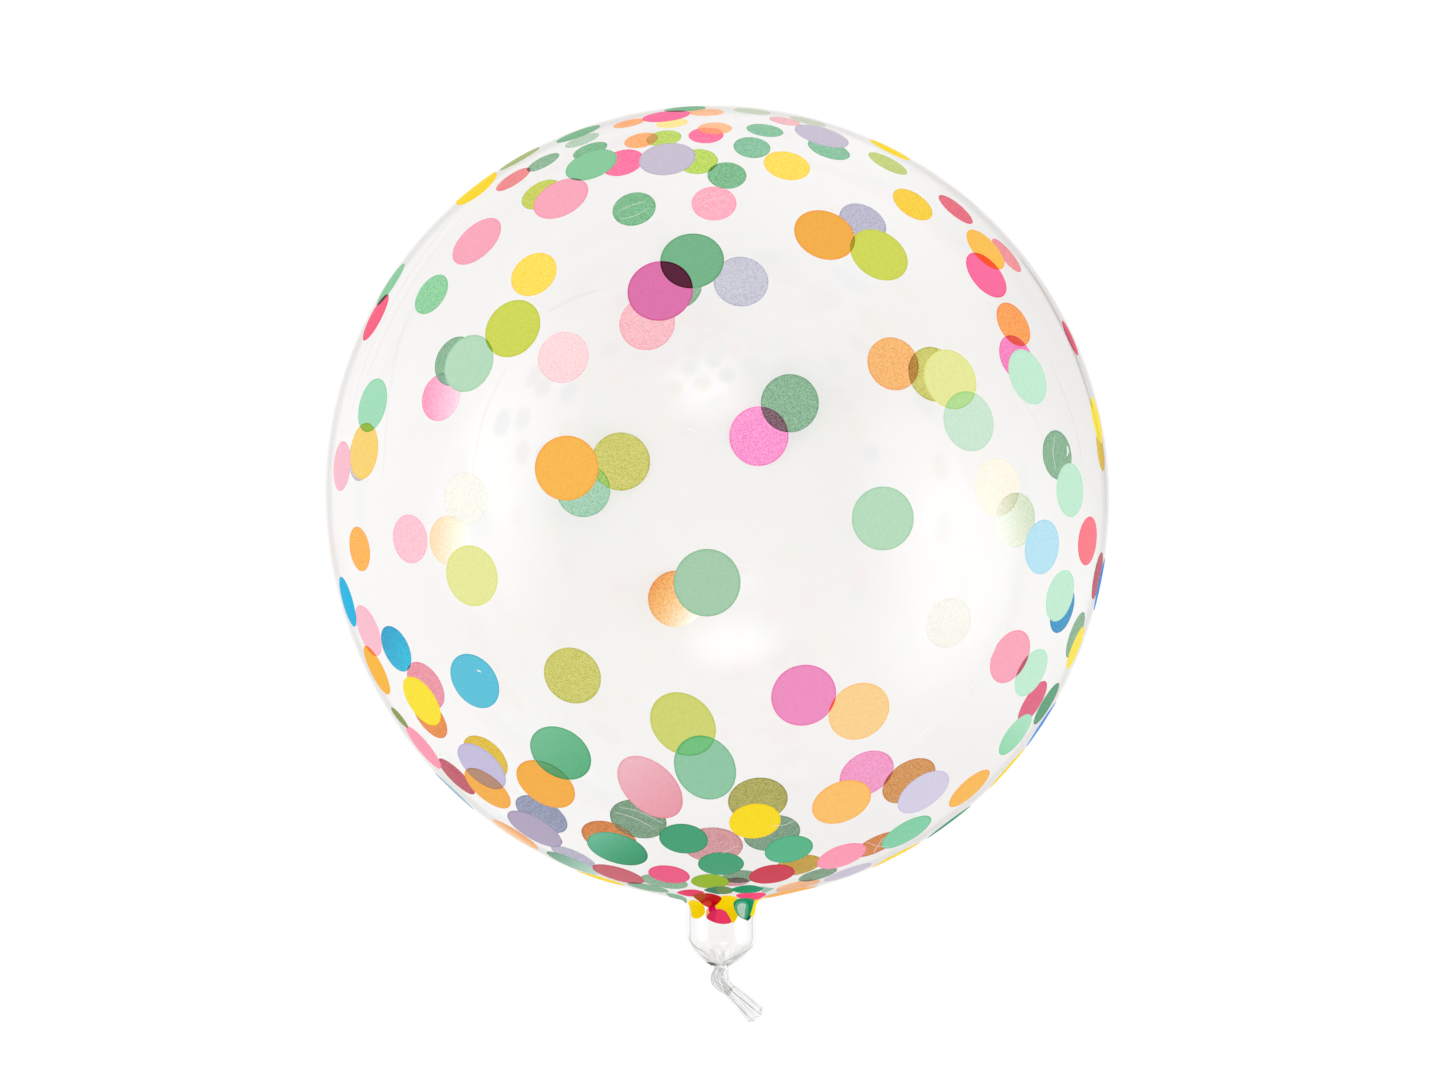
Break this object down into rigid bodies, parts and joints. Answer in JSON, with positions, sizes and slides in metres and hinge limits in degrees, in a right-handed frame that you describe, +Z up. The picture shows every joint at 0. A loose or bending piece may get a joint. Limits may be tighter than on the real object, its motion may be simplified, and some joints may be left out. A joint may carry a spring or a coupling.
{
  "type": "clear orb balloon",
  "caption": "Round see-through film balloon printed with coloured confetti dots, its neck gathered, knotted and left with a short pleated tail, lying on its side.",
  "frame": {"origin": "centre of the small flat patch that the orb lies on, at floor level, straight below the middle of the orb", "axes": "+Z up; +Y along the balloon's own axis from the knotted neck to the crown; +X to the side that the tail leans to"},
  "size_m": [0.4, 0.4693, 0.3977],
  "materials": {
    "clear_film": "clear glossy stretch film, printed with translucent round dots of coloured ink"
  },
  "bodies": {
    "root": {"balloon_film": "clear_film"}
  },
  "joints": []
}
